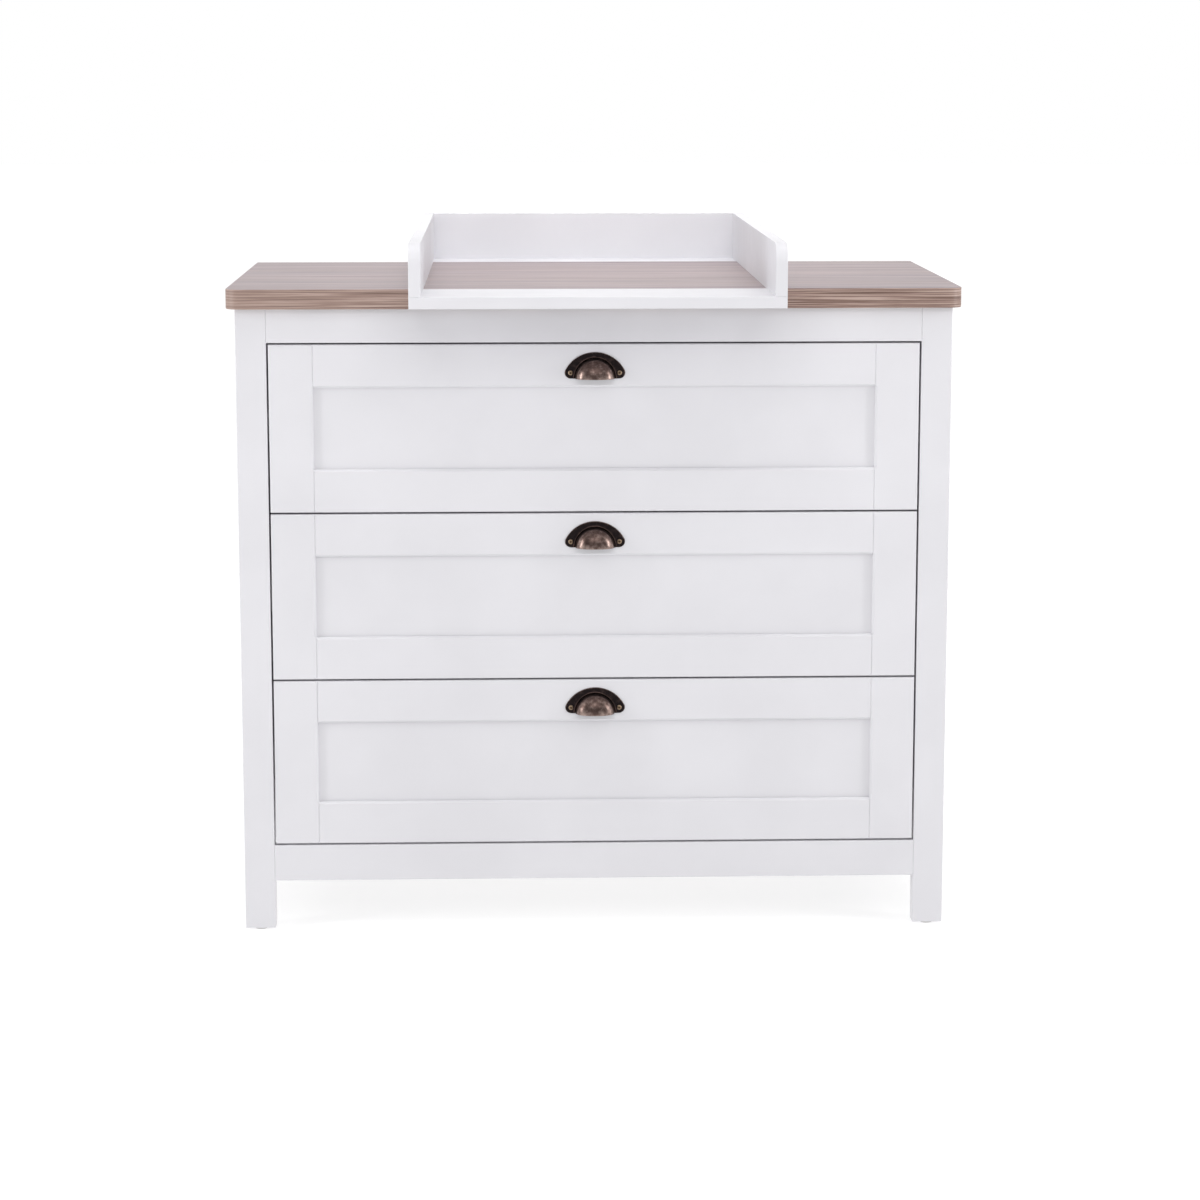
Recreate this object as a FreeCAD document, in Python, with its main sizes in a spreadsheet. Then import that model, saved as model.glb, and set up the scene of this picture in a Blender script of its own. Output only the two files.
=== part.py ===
"""Changing table: a chest of three wide drawers with a removable changing tray on its worktop.

Millimetres. +Z is up, the drawers open towards -Y, and +X is to the right seen from the front.
The origin lies on the floor under the middle of the whole piece, tray included.
"""
import FreeCAD, Part
import math
import os
import Sketcher

V = FreeCAD.Vector
doc = FreeCAD.newDocument("changing_table")
sheet = doc.addObject("Spreadsheet::Sheet", "sizes")
nodes = []


# ---------------------------------------------------------------- driving dimensions

def size(name, value, note):
    """Writes one driving dimension into the sheet and returns the text that an expression uses for it."""
    size.row += 1
    sheet.set(f"A{size.row}", note)
    sheet.set(f"B{size.row}", str(value))
    sheet.setAlias(f"B{size.row}", name)
    return "sizes." + name


size.row = 0

worktop_width = size("worktop_width", 1030, "worktop, left to right")
worktop_depth = size("worktop_depth", 535, "worktop, front to back")
worktop_height = size("worktop_height", 923, "floor to the worktop's upper face")
worktop_thickness = size("worktop_thickness", 28, "worktop board")
worktop_corner = size("worktop_corner", 20, "radius of the worktop's front corners, seen from above")
side_overhang = size("side_overhang", 12.5, "worktop past the posts, each side")
front_overhang = size("front_overhang", 13, "worktop past the posts, front")
rear_overhang = size("rear_overhang", 8, "worktop past the back panel")
eased_edge = size("eased_edge", 1, "small rounding on planed boards")

post_width = size("post_width", 43, "corner post, left to right")
post_depth = size("post_depth", 25, "corner post, front to back")
glide_radius = size("glide_radius", 9, "plastic glide under each post")
glide_thickness = size("glide_thickness", 3, "plastic glide under each post")
floor_clearance = size("floor_clearance", 72.6, "floor to the lower rails")

apron_height = size("apron_height", 48, "rail above the drawers")
bottom_rail_height = size("bottom_rail_height", 52, "rail below the drawers")
rear_rail_height = size("rear_rail_height", 60, "rails between the rear posts")
rail_thickness = size("rail_thickness", 18, "all rails of the carcass")
side_thickness = size("side_thickness", 18, "side panel board")
side_setback = size("side_setback", 2, "side panel behind the posts' outer face")
side_recess = size("side_recess", 5, "depth of the field milled into a side panel")
back_thickness = size("back_thickness", 4, "hardboard back panel")
back_margin = size("back_margin", 6, "back panel short of the carcass's edge")
batten_height = size("batten_height", 60, "batten that carries a drawer runner")

drawer_gap = size("drawer_gap", 2.4, "running gap round each drawer front")
front_thickness = size("front_thickness", 20, "frame of a drawer front")
stile_width = size("stile_width", 62, "upright member of a drawer front")
rail_height = size("rail_height", 61, "level member of a drawer front")
front_recess = size("front_recess", 6, "panel of a drawer front behind its frame")
panel_rebate = size("panel_rebate", 8, "panel edge held in the frame")
front_rounding = size("front_rounding", 2.2, "outer edge of a drawer front")
joint_chamfer = size("joint_chamfer", 1.1, "half of the V line where stile and rail meet")
frame_bevel = size("frame_bevel", 3, "bevel from the frame down to the panel")

box_thickness = size("box_thickness", 15, "sides and ends of a drawer box")
box_top_clearance = size("box_top_clearance", 32, "drawer box below the top of its front")
box_bottom_clearance = size("box_bottom_clearance", 22, "drawer box above the bottom of its front")
box_bottom_thickness = size("box_bottom_thickness", 6, "drawer bottom")
bottom_groove_depth = size("bottom_groove_depth", 7, "groove that holds the drawer bottom")
bottom_groove_height = size("bottom_groove_height", 12, "drawer bottom above the box's lower edge")

runner_height = size("runner_height", 45, "cabinet member of a drawer runner")
runner_width = size("runner_width", 12.7, "space between post and drawer box")
runner_wall = size("runner_wall", 1.2, "sheet steel of the runner members")
runner_play = size("runner_play", 0.6, "gap between two runner members, where the balls run")
runner_flange = size("runner_flange", 8.6, "depth of each runner member's channel")
runner_front_setback = size("runner_front_setback", 2, "cabinet member behind the drawer front")
runner_rear_clearance = size("runner_rear_clearance", 40, "space behind a closed drawer box")

handle_width = size("handle_width", 85, "cup pull plate")
handle_height = size("handle_height", 37, "cup pull plate")
handle_ear = size("handle_ear", 8.1, "radius of the plate's rounded ears")
handle_plate = size("handle_plate", 1.8, "plate thickness")
handle_drop = size("handle_drop", 11.5, "cup pull below the top of the drawer front")
cup_ear_gap = size("cup_ear_gap", 2.79, "cup from the heads of its screws")
cup_depth = size("cup_depth", 22, "cup, how far it stands out")
cup_wall = size("cup_wall", 1.8, "cup wall")

tray_width = size("tray_width", 510, "changing tray over its sides")
tray_side_height = size("tray_side_height", 72, "tray sides above the worktop")
tray_thickness = size("tray_thickness", 16, "all boards of the tray")
tray_front_reach = size("tray_front_reach", 141, "tray in front of the worktop")
tray_rear_reach = size("tray_rear_reach", 75, "worktop's rear edge to the tray's back panel")
tray_corner = size("tray_corner", 25, "rounded front corner of a tray side")
tray_clearance = size("tray_clearance", 0.5, "tray floor boards from the worktop's edges")

dowel_radius = size("dowel_radius", 4, "wooden dowel")
dowel_length = size("dowel_length", 30, "wooden dowel")
dowel_spread = size("dowel_spread", 12, "dowel above and below the middle of a rail")
side_dowel_inset = size("side_dowel_inset", 80, "outer dowels of a side panel from its ends")
hole_clearance = size("hole_clearance", 0.15, "radial clearance round every dowel and screw")
hole_end = size("hole_end", 1, "free depth past the end of every dowel and screw")
small_screw = size("small_screw", 1.75, "shank radius of the screws in angles and back panel")
small_screw_head = size("small_screw_head", 3.5, "their head radius")
small_screw_length = size("small_screw_length", 14, "their length under the head")
front_screw = size("front_screw", 2, "shank radius of the screws that hold a drawer front")
front_screw_head = size("front_screw_head", 4, "their head radius")
front_screw_cover = size("front_screw_cover", 6, "wood left in front of those screws")
front_screw_inset = size("front_screw_inset", 35, "those screws from the box's upper and lower edges")
handle_screw = size("handle_screw", 1.9, "shank radius of the cup pull's screws")
handle_screw_head = size("handle_screw_head", 3.61, "their head radius")
handle_screw_length = size("handle_screw_length", 14, "their length under the head")
tray_screw = size("tray_screw", 2.5, "shank radius of the tray's screws")
tray_screw_head = size("tray_screw_head", 4.5, "their head radius")
tray_screw_length = size("tray_screw_length", 36, "their length under the head")
tray_screw_inset = size("tray_screw_inset", 22, "tray screws from the edges of what they hold")
angle_leg = size("angle_leg", 25, "steel angle under the worktop, each leg")
angle_width = size("angle_width", 20, "steel angle, left to right")
angle_wall = size("angle_wall", 2, "steel angle, sheet thickness")
angle_inset = size("angle_inset", 150, "steel angles from the posts")


# ---------------------------------------------------------------- places worked out from them

overall_depth = f"({tray_front_reach} + {worktop_depth} + {tray_rear_reach} + {tray_thickness})"
worktop_front = f"({tray_front_reach} - {overall_depth} / 2)"
worktop_back = f"({worktop_front} + {worktop_depth})"
worktop_under = f"({worktop_height} - {worktop_thickness})"

cabinet_front = f"({worktop_front} + {front_overhang})"
cabinet_back = f"({worktop_back} - {rear_overhang} - {back_thickness})"
cabinet_half = f"({worktop_width} / 2 - {side_overhang})"
post_inner = f"({cabinet_half} - {post_width})"
bay_front = f"({cabinet_front} + {post_depth})"
bay_back = f"({cabinet_back} - {post_depth})"

bottom_rail_top = f"({floor_clearance} + {bottom_rail_height})"
apron_bottom = f"({worktop_under} - {apron_height})"
drawer_pitch = f"(({apron_bottom} - {bottom_rail_top} - {drawer_gap}) / 3)"
front_height = f"({drawer_pitch} - {drawer_gap})"
front_half = f"({post_inner} - {drawer_gap})"
field_half = f"({front_half} - {stile_width})"

box_front = f"({cabinet_front} + {front_thickness})"
box_length = f"({cabinet_back} - {box_front} - {runner_rear_clearance})"
box_back = f"({box_front} + {box_length})"
box_half = f"({post_inner} - {runner_width})"
box_inner_half = f"({box_half} - {box_thickness})"

arch_reach = f"({handle_width} / 2 - {handle_ear})"
arch_rise = f"({handle_height} - {handle_ear})"
arch_radius = f"({arch_reach} ^ 2 + {arch_rise} ^ 2 - {handle_ear} ^ 2) / (2 * ({arch_rise} - {handle_ear}))"
cup_radius = f"({arch_reach} - {handle_screw_head} - {cup_ear_gap})"
cup_sphere = f"(({cup_radius} ^ 2 + {cup_depth} ^ 2) / (2 * {cup_depth}))"
cup_centre = f"({cup_sphere} - {cup_depth})"

tray_half = f"({tray_width} / 2)"
tray_inner_half = f"({tray_half} - {tray_thickness})"
tray_front = f"({worktop_front} - {tray_front_reach})"
tray_back_face = f"({worktop_back} + {tray_rear_reach})"
tray_rear = f"({tray_back_face} + {tray_thickness})"
tray_top = f"({worktop_height} + {tray_side_height})"


# ---------------------------------------------------------------- building blocks

AIMS = {
    "+x": FreeCAD.Rotation(V(0, 1, 0), 90),
    "-x": FreeCAD.Rotation(V(0, 1, 0), -90),
    "+y": FreeCAD.Rotation(V(1, 0, 0), -90),
    "-y": FreeCAD.Rotation(V(1, 0, 0), 90),
    "+z": FreeCAD.Rotation(),
    "-z": FreeCAD.Rotation(V(1, 0, 0), 180),
}
OPPOSITE = {"+x": "-x", "-x": "+x", "+y": "-y", "-y": "+y", "+z": "-z", "-z": "+z"}


def value(expression):
    """The present value of an expression."""
    return float(sheet.evalExpression(expression))


def place(thing, at):
    """Ties an object's position to three expressions."""
    for axis, expression in zip("xyz", at):
        thing.setExpression(".Placement.Base." + axis, expression)


def board(name, x, y, z):
    """A board between a low and a high plane on each axis. Its body's origin is its low corner."""
    body = doc.addObject("PartDesign::Body", name)
    block = body.newObject("PartDesign::AdditiveBox", name + "_block")
    for side, (low, high) in zip(("Length", "Width", "Height"), (x, y, z)):
        block.setExpression(side, f"{high} - {low}")
    place(body, (x[0], y[0], z[0]))
    doc.recompute()
    return body


def cut_box(body, x, y, z):
    """Cuts a box out of a board. Its planes are given from the board's low corner."""
    block = body.newObject("PartDesign::SubtractiveBox", body.Name + "_cut")
    for side, (low, high) in zip(("Length", "Width", "Height"), (x, y, z)):
        block.setExpression(side, f"{high} - {low}")
    place(block, (x[0], y[0], z[0]))
    doc.recompute()
    return body


def lies_on(edge, axis, level):
    """True where every end of an edge is on one plane across an axis."""
    return all(abs(getattr(point.Point, axis) - level) < 1e-6 for point in edge.Vertexes)


def soften(body, kind, amount, chosen):
    """Adds a Fillet or a Chamfer to the edges of a body's tip that a test picks."""
    tip = body.Tip
    names = [f"Edge{i}" for i, edge in enumerate(tip.Shape.Edges, 1) if chosen(edge)]
    feature = body.newObject("PartDesign::" + kind, f"{body.Name}_{kind.lower()}")
    feature.Base = (tip, names)
    feature.setExpression("Radius" if kind == "Fillet" else "Size", amount)
    body.Tip = feature
    tip.Visibility = False
    doc.recompute()
    return body


def ease(body, axis, expressions, amount=eased_edge):
    """Rounds the edges that lie on planes across an axis, given from the board's low corner."""
    levels = [value(expression) for expression in expressions]
    return soften(body, "Fillet", amount, lambda edge: any(lies_on(edge, axis, level) for level in levels))


def mirrored(name, source):
    """The same piece on the other side of the middle plane."""
    twin = doc.addObject("Part::Mirroring", name)
    twin.Source = source
    twin.Normal = V(1, 0, 0)
    return twin


def rod(name, aim, radius, length, at):
    """A round bar that starts at a point and runs along an aim."""
    bar = doc.addObject("Part::Cylinder", name)
    bar.Placement = FreeCAD.Placement(V(), AIMS[aim])
    bar.setExpression("Radius", radius)
    bar.setExpression("Height", length)
    place(bar, at)
    return bar


def joined(name, members):
    """Several overlapping shapes made one solid."""
    union = doc.addObject("Part::MultiFuse", name)
    union.Shapes = members
    union.Refine = True
    return union


def group(name, members):
    """Separate solids that share one node."""
    pack = doc.addObject("Part::Compound", name)
    pack.Links = members
    return pack


def drilled(name, blank, tools):
    """A piece with the holes of its fasteners."""
    cut = doc.addObject("Part::Cut", name)
    cut.Base = blank
    cut.Tool = group(name + "_holes", tools)
    return cut


def node(name, thing):
    """Marks an object as a sub-part. Its label names its file."""
    thing.Label = name
    nodes.append(thing)


class Fastener:
    """A dowel or a screw with the hole that takes it. `at` is where the shank starts."""

    def __init__(self, name, aim, radius, length, at, head_radius=None, head_height=None):
        hole_radius = f"{radius} + {hole_clearance}"
        shank = rod(name + "_shank", aim, radius, length, at)
        hole = rod(name + "_hole", aim, hole_radius, f"{length} + {hole_end}", at)
        self.solid, self.hole = shank, hole
        if head_radius:
            back = OPPOSITE[aim]
            head = rod(name + "_head", back, head_radius, head_height, at)
            sink_radius = f"{head_radius} + {hole_clearance}"
            sink = rod(name + "_sink", back, sink_radius, f"{head_height} + {hole_end}", at)
            self.solid = joined(name, [head, shank])
            self.hole = joined(name + "_bore", [sink, hole])


def shift(start, *amounts):
    """A point moved by one expression on each axis."""
    return tuple(f"({base} + {amount})" for base, amount in zip(start, amounts))


# ---------------------------------------------------------------- fasteners of the carcass

def rail_dowels(name, y, middle):
    """Two dowels at each end of a carcass rail."""
    pins = []
    outer_end = f"{post_inner} + {dowel_length} / 2"
    for aim, end in (("+x", f"-({outer_end})"), ("-x", outer_end)):
        for level in (f"{middle} - {dowel_spread}", f"{middle} + {dowel_spread}"):
            pins.append(Fastener(f"{name}_dowel_{len(pins)}", aim, dowel_radius, dowel_length,
                                 (end, y, level)))
    return pins


def dowel_holes(pins, side):
    """The blind holes of a rail's dowels that belong to one side: 0 is left, 1 is right."""
    half = len(pins) // 2
    return [pin.hole for pin in pins[side * half:(side + 1) * half]]


front_rail_y = f"({cabinet_front} + {rail_thickness} / 2)"
rear_rail_y = f"({cabinet_back} - {rail_thickness} / 2)"
rear_bottom_top = f"({floor_clearance} + {rear_rail_height})"
rear_top_bottom = f"({worktop_under} - {rear_rail_height})"
rail_pins = {
    "front_apron": rail_dowels("front_apron", front_rail_y, f"({worktop_under} + {apron_bottom}) / 2"),
    "front_bottom_rail": rail_dowels(
        "front_bottom_rail", front_rail_y, f"({floor_clearance} + {bottom_rail_top}) / 2"),
    "rear_top_rail": rail_dowels("rear_top_rail", rear_rail_y, f"({worktop_under} + {rear_top_bottom}) / 2"),
    "rear_bottom_rail": rail_dowels(
        "rear_bottom_rail", rear_rail_y, f"({floor_clearance} + {rear_bottom_top}) / 2"),
}

side_middle_x = f"({cabinet_half} - {side_setback} - {side_thickness} / 2)"
side_levels = (
    f"{floor_clearance} + {side_dowel_inset}",
    f"({floor_clearance} + {worktop_under}) / 2",
    f"{worktop_under} - {side_dowel_inset}",
)


def side_dowels(end, y, sign):
    """Three dowels between a side panel and a post. Their holes reach past both ends."""
    pins = []
    for level in side_levels:
        at = (f"{sign}{side_middle_x}", f"{y} - {dowel_length} / 2", level)
        pins.append(Fastener(f"{end}_side_dowel_{len(pins)}", "+y", dowel_radius, dowel_length, at))
    return pins


side_pins = {
    "left_front": side_dowels("left_front", bay_front, "-"),
    "left_rear": side_dowels("left_rear", bay_back, "-"),
    "right_front": side_dowels("right_front", bay_front, ""),
    "right_rear": side_dowels("right_rear", bay_back, ""),
}
every_dowel = [pin.solid for pins in (*rail_pins.values(), *side_pins.values()) for pin in pins]


# ---------------------------------------------------------------- worktop and its steel angles

angles = []
carcass_screws = []
worktop_holes = []
rail_screw_holes = {"front_apron": [], "rear_top_rail": []}


def small(name, aim, at):
    """One of the small pan-head screws."""
    return Fastener(name, aim, small_screw, small_screw_length, at, small_screw_head, small_screw)


def worktop_angle(rail, face, towards, x):
    """A steel angle in the corner of a rail and the worktop. Its free leg points along `towards`, on Y."""
    name = f"{rail}_angle_{len(angles)}"
    inward = towards == "+y"
    low_y = face if inward else f"({face} - {angle_leg})"
    high_y = f"({face} + {angle_leg})" if inward else face
    low_x = f"({x} - {angle_width} / 2)"
    blank = board(name, (low_x, f"({x} + {angle_width} / 2)"), (low_y, high_y),
                  (f"({worktop_under} - {angle_leg})", worktop_under))
    open_y = (angle_wall, angle_leg) if inward else ("0", f"{angle_leg} - {angle_wall}")
    cut_box(blank, ("0", angle_width), open_y, ("0", f"{angle_leg} - {angle_wall}"))
    sign = "+" if inward else "-"
    reach = f"({angle_leg} + {angle_wall}) / 2"
    up = small(name + "_up", "+z", (x, f"{face} {sign} {reach}", f"{worktop_under} - {angle_wall}"))
    back = small(name + "_back", OPPOSITE[towards],
                 (x, f"{face} {sign} {angle_wall}", f"{worktop_under} - {reach}"))
    angles.append(drilled(name + "_drilled", blank, [up.hole, back.hole]))
    carcass_screws.extend([up.solid, back.solid])
    worktop_holes.append(up.hole)
    rail_screw_holes[rail].append(back.hole)


for angle_x in (f"-({post_inner} - {angle_inset})", f"({post_inner} - {angle_inset})"):
    worktop_angle("front_apron", f"({cabinet_front} + {rail_thickness})", "+y", angle_x)
    worktop_angle("rear_top_rail", f"({cabinet_back} - {rail_thickness})", "-y", angle_x)

worktop = board("worktop_blank", (f"-{worktop_width} / 2", f"{worktop_width} / 2"),
                (worktop_front, worktop_back), (worktop_under, worktop_height))
soften(worktop, "Fillet", worktop_corner,
       lambda edge: lies_on(edge, "y", 0) and not lies_on(edge, "z", edge.Vertexes[0].Point.z))
ease(worktop, "z", ("0", worktop_thickness))
node("worktop", drilled("worktop", worktop, worktop_holes))


# ---------------------------------------------------------------- posts, rails, sides and back

def carcass_rail(name, y, z, extra_holes=()):
    """A rail between two posts, doweled at both ends."""
    blank = board(name + "_blank", (f"-{post_inner}", post_inner), y, z)
    ease(blank, "y", ("0",) if "front" in name else (rail_thickness,), joint_chamfer)
    holes = [pin.hole for pin in rail_pins[name]] + list(extra_holes)
    return drilled(name, blank, holes)


front_y = (cabinet_front, f"({cabinet_front} + {rail_thickness})")
rear_y = (f"({cabinet_back} - {rail_thickness})", cabinet_back)

back_screw_x = [f"{share} * ({post_inner} - {angle_inset})" for share in (-1, 0, 1)]
back_screws = {"rear_top_rail": [], "rear_bottom_rail": [], "left_rear_post": [], "right_rear_post": []}
back_screw_rows = (
    ("rear_top_rail", f"({worktop_under} + {rear_top_bottom}) / 2"),
    ("rear_bottom_rail", f"({floor_clearance} + {rear_bottom_top}) / 2"),
)
back_outer = f"({cabinet_back} + {back_thickness})"
for rail, level in back_screw_rows:
    for x in back_screw_x:
        name = f"{rail}_back_screw_{len(back_screws[rail])}"
        back_screws[rail].append(small(name, "-y", (x, back_outer, level)))
for post, sign in (("left_rear_post", "-"), ("right_rear_post", "")):
    post_x = f"{sign}({cabinet_half} - {post_width} / 2)"
    for level in side_levels:
        name = f"{post}_back_screw_{len(back_screws[post])}"
        back_screws[post].append(small(name, "-y", (post_x, back_outer, level)))
for screws in back_screws.values():
    carcass_screws.extend(screw.solid for screw in screws)

for corner in ("left_front", "right_front", "left_rear", "right_rear"):
    left, front = "left" in corner, "front" in corner
    x = (f"-{cabinet_half}", f"-{post_inner}") if left else (post_inner, cabinet_half)
    y = (cabinet_front, bay_front) if front else (bay_back, cabinet_back)
    post = board(corner + "_post_blank", x, y, (glide_thickness, worktop_under))
    soften(post, "Fillet", joint_chamfer,
           lambda edge: abs(edge.Vertexes[0].Point.z - edge.Vertexes[-1].Point.z) > 1)
    pins = rail_pins["front_apron"], rail_pins["front_bottom_rail"]
    if not front:
        pins = rail_pins["rear_top_rail"], rail_pins["rear_bottom_rail"]
    holes = [hole for pair in pins for hole in dowel_holes(pair, 0 if left else 1)]
    holes += [pin.hole for pin in side_pins[corner]]
    holes += [screw.hole for screw in back_screws.get(corner + "_post", [])]
    node(corner + "_post", drilled(corner + "_post", post, holes))

node("front_apron", carcass_rail("front_apron", front_y, (apron_bottom, worktop_under),
                                 rail_screw_holes["front_apron"]))
node("front_bottom_rail", carcass_rail("front_bottom_rail", front_y, (floor_clearance, bottom_rail_top)))
rear_top_holes = rail_screw_holes["rear_top_rail"] + [screw.hole for screw in back_screws["rear_top_rail"]]
rear_bottom_holes = [screw.hole for screw in back_screws["rear_bottom_rail"]]
node("rear_rails", group("rear_rails", [
    carcass_rail("rear_top_rail", rear_y, (rear_top_bottom, worktop_under), rear_top_holes),
    carcass_rail("rear_bottom_rail", rear_y, (floor_clearance, rear_bottom_top), rear_bottom_holes)]))

side_inset = f"({stile_width} - {post_depth})"
side_length = f"({bay_back} - {bay_front})"
side_height = f"({worktop_under} - {floor_clearance})"


def side_panel(side):
    """A side board with a bevelled field milled into its outer face, as the drawer fronts have."""
    outer = f"({cabinet_half} - {side_setback})"
    inner = f"({outer} - {side_thickness})"
    left = side == "left"
    x = (f"-{outer}", f"-{inner}") if left else (inner, outer)
    panel = board(side + "_side_panel_blank", x, (bay_front, bay_back), (floor_clearance, worktop_under))
    field_x = ("0", side_recess) if left else (f"({side_thickness} - {side_recess})", side_thickness)
    cut_box(panel, field_x, (side_inset, f"({side_length} - {side_inset})"),
            (rail_height, f"({side_height} - {rail_height})"))
    face = 0 if left else value(side_thickness)
    depth, height = value(side_length), value(side_height)
    soften(panel, "Chamfer", frame_bevel, lambda edge: lies_on(edge, "x", face)
           and all(1 < point.Point.y < depth - 1 and 1 < point.Point.z < height - 1
                    for point in edge.Vertexes))
    holes = [pin.hole for end in ("_front", "_rear") for pin in side_pins[side + end]]
    return drilled(side + "_side_panel", panel, holes)


node("left_side_panel", side_panel("left"))
node("right_side_panel", side_panel("right"))

back_half = f"({cabinet_half} - {back_margin})"
back_panel = board("back_panel_blank", (f"-{back_half}", back_half), (cabinet_back, back_outer),
                   (floor_clearance, f"({worktop_under} - {back_margin})"))
node("back_panel", drilled("back_panel", back_panel,
                           [screw.hole for screws in back_screws.values() for screw in screws]))

glides = []
for x in (f"-({cabinet_half} - {post_width} / 2)", f"({cabinet_half} - {post_width} / 2)"):
    for y in (f"{cabinet_front} + {post_depth} / 2", f"{cabinet_back} - {post_depth} / 2"):
        glides.append(rod(f"glide_{len(glides)}", "+z", glide_radius, glide_thickness, (x, y, "0")))
node("foot_glides", group("foot_glides", glides))

node("worktop_angles", group("worktop_angles", angles))
node("carcass_screws", group("carcass_screws", carcass_screws))
node("carcass_dowels", group("carcass_dowels", every_dowel))


# ---------------------------------------------------------------- drawer runners and their battens

DRAWERS = ("bottom", "middle", "top")


def drawer_bottom(index):
    """The lower edge of a drawer front. Index 0 is the lowest drawer."""
    return f"({bottom_rail_top} + {drawer_gap} + {index} * {drawer_pitch})"


def runner_level(index):
    """The middle of a runner, level with the middle of its drawer front."""
    return f"({drawer_bottom(index)} + {front_height} / 2)"


def runner_member(name, index, depth_in, channel_height, opens_inward, y):
    """One left-hand channel of a runner, its outer plane `depth_in` inside the post's face."""
    outer = f"(-{post_inner} + {depth_in})"
    half = f"{channel_height} / 2"
    channel = board(name, (outer, f"({outer} + {runner_flange})"), y,
                    (f"({runner_level(index)} - {half})", f"({runner_level(index)} + {half})"))
    hollow_x = (runner_wall, runner_flange) if opens_inward else ("0", f"({runner_flange} - {runner_wall})")
    cut_box(channel, hollow_x, ("0", f"({y[1]} - {y[0]})"),
            (runner_wall, f"({channel_height} - {runner_wall})"))
    return channel


def both_sides(name, left):
    """A left-hand piece and its mirror image, in one node."""
    return group(name, [left, mirrored(name + "_right", left)])


nested_step = f"({runner_wall} + {runner_play})"
middle_height = f"({runner_height} - 2 * {nested_step})"
inner_height = f"({runner_height} - 4 * {nested_step})"
runner_y = (f"({box_front} + {runner_front_setback})", box_back)

battens = []
cabinet_members = []
for index, name in enumerate(DRAWERS):
    level = runner_level(index)
    batten = board(f"{name}_batten",
                   (f"-({cabinet_half} - {side_setback} - {side_thickness})", f"-{post_inner}"),
                   (bay_front, bay_back),
                   (f"({level} - {batten_height} / 2)", f"({level} + {batten_height} / 2)"))
    battens.extend([batten, mirrored(f"{name}_batten_right", batten)])
    member = runner_member(f"{name}_cabinet_member", index, "0", runner_height, True, runner_y)
    cabinet_members.extend([member, mirrored(f"{name}_cabinet_member_right", member)])
node("runner_battens", group("runner_battens", battens))
node("runner_cabinet_members", group("runner_cabinet_members", cabinet_members))


# ---------------------------------------------------------------- cup pull

def arch_outline(body):
    """Sketch of the pull's plate: a straight lower edge, two round ears and one wide arc over the top.

    The wide arc touches both ear circles from outside, which gives its radius from width, height and ear.
    """
    width, height, ear = value(handle_width), value(handle_height), value(handle_ear)
    reach, rise = width / 2 - ear, height - ear
    radius = (reach ** 2 + rise ** 2 - ear ** 2) / (2 * (rise - ear))
    centre = V(0, height - radius, 0)
    angle = math.atan2(ear - centre.y, reach)
    sketch = body.newObject("Sketcher::SketchObject", body.Name + "_outline")
    plane = next(item for item in body.Origin.OriginFeatures if item.Role == "XZ_Plane")
    sketch.AttachmentSupport = [(plane, "")]
    sketch.MapMode = "FlatFace"
    up, quarter = V(0, 0, 1), math.pi / 2
    sketch.addGeometry([
        Part.LineSegment(V(-reach, 0, 0), V(reach, 0, 0)),
        Part.ArcOfCircle(Part.Circle(V(reach, ear, 0), up, ear), -quarter, angle),
        Part.ArcOfCircle(Part.Circle(centre, up, radius), angle, math.pi - angle),
        Part.ArcOfCircle(Part.Circle(V(-reach, ear, 0), up, ear), math.pi - angle, 3 * quarter),
    ], False)
    bottom, right, top, left = range(4)
    start, end, middle = 1, 2, 3
    sketch.addConstraint([
        Sketcher.Constraint("Tangent", bottom, end, right, start),
        Sketcher.Constraint("Tangent", right, end, top, start),
        Sketcher.Constraint("Tangent", top, end, left, start),
        Sketcher.Constraint("Tangent", left, end, bottom, start),
        Sketcher.Constraint("Equal", right, left),
        Sketcher.Constraint("PointOnObject", top, middle, -2),
        Sketcher.Constraint("PointOnObject", bottom, start, -1),
        Sketcher.Constraint("Horizontal", bottom),
    ])
    for kind, items, number, expression in (
            ("Radius", (right,), ear, handle_ear),
            ("DistanceX", (left, middle, right, middle), 2 * reach, f"{handle_width} - 2 * {handle_ear}"),
            ("Radius", (top,), radius, arch_radius)):
        constraint = sketch.addConstraint(Sketcher.Constraint(kind, *items, number))
        sketch.setExpression(f"Constraints[{constraint}]", expression)
    return sketch


def cup_pull(name, base, screws):
    """A cup pull: half a round shell on an arched plate, open below. `base` is its lower middle."""
    body = doc.addObject("PartDesign::Body", name + "_plate")
    pad = body.newObject("PartDesign::Pad", name + "_plate_pad")
    pad.Profile = arch_outline(body)
    pad.setExpression("Length", handle_plate)
    body.Tip = pad
    place(body, base)
    window = rod(name + "_window", "-y", f"{cup_radius} - {cup_wall}", handle_plate, base)
    plate = drilled(name + "_pierced", body, [window] + [screw.hole for screw in screws])

    shells = []
    for part, radius in (("outside", cup_sphere), ("inside", f"{cup_sphere} - {cup_wall}")):
        ball = doc.addObject("Part::Sphere", f"{name}_{part}")
        ball.setExpression("Radius", radius)
        place(ball, shift(base, "0", cup_centre, "0"))
        shells.append(ball)
    shell = doc.addObject("Part::Cut", name + "_shell")
    shell.Base, shell.Tool = shells
    quarter = doc.addObject("Part::Box", name + "_quarter")
    for side, length in (("Length", f"2 * {cup_radius}"), ("Width", cup_depth), ("Height", cup_radius)):
        quarter.setExpression(side, length)
    place(quarter, shift(base, f"-{cup_radius}", f"-{cup_depth}", "0"))
    cup = doc.addObject("Part::Common", name + "_cup")
    cup.Base, cup.Tool = shell, quarter
    return joined(name, [plate, cup])


# ---------------------------------------------------------------- drawers

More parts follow.
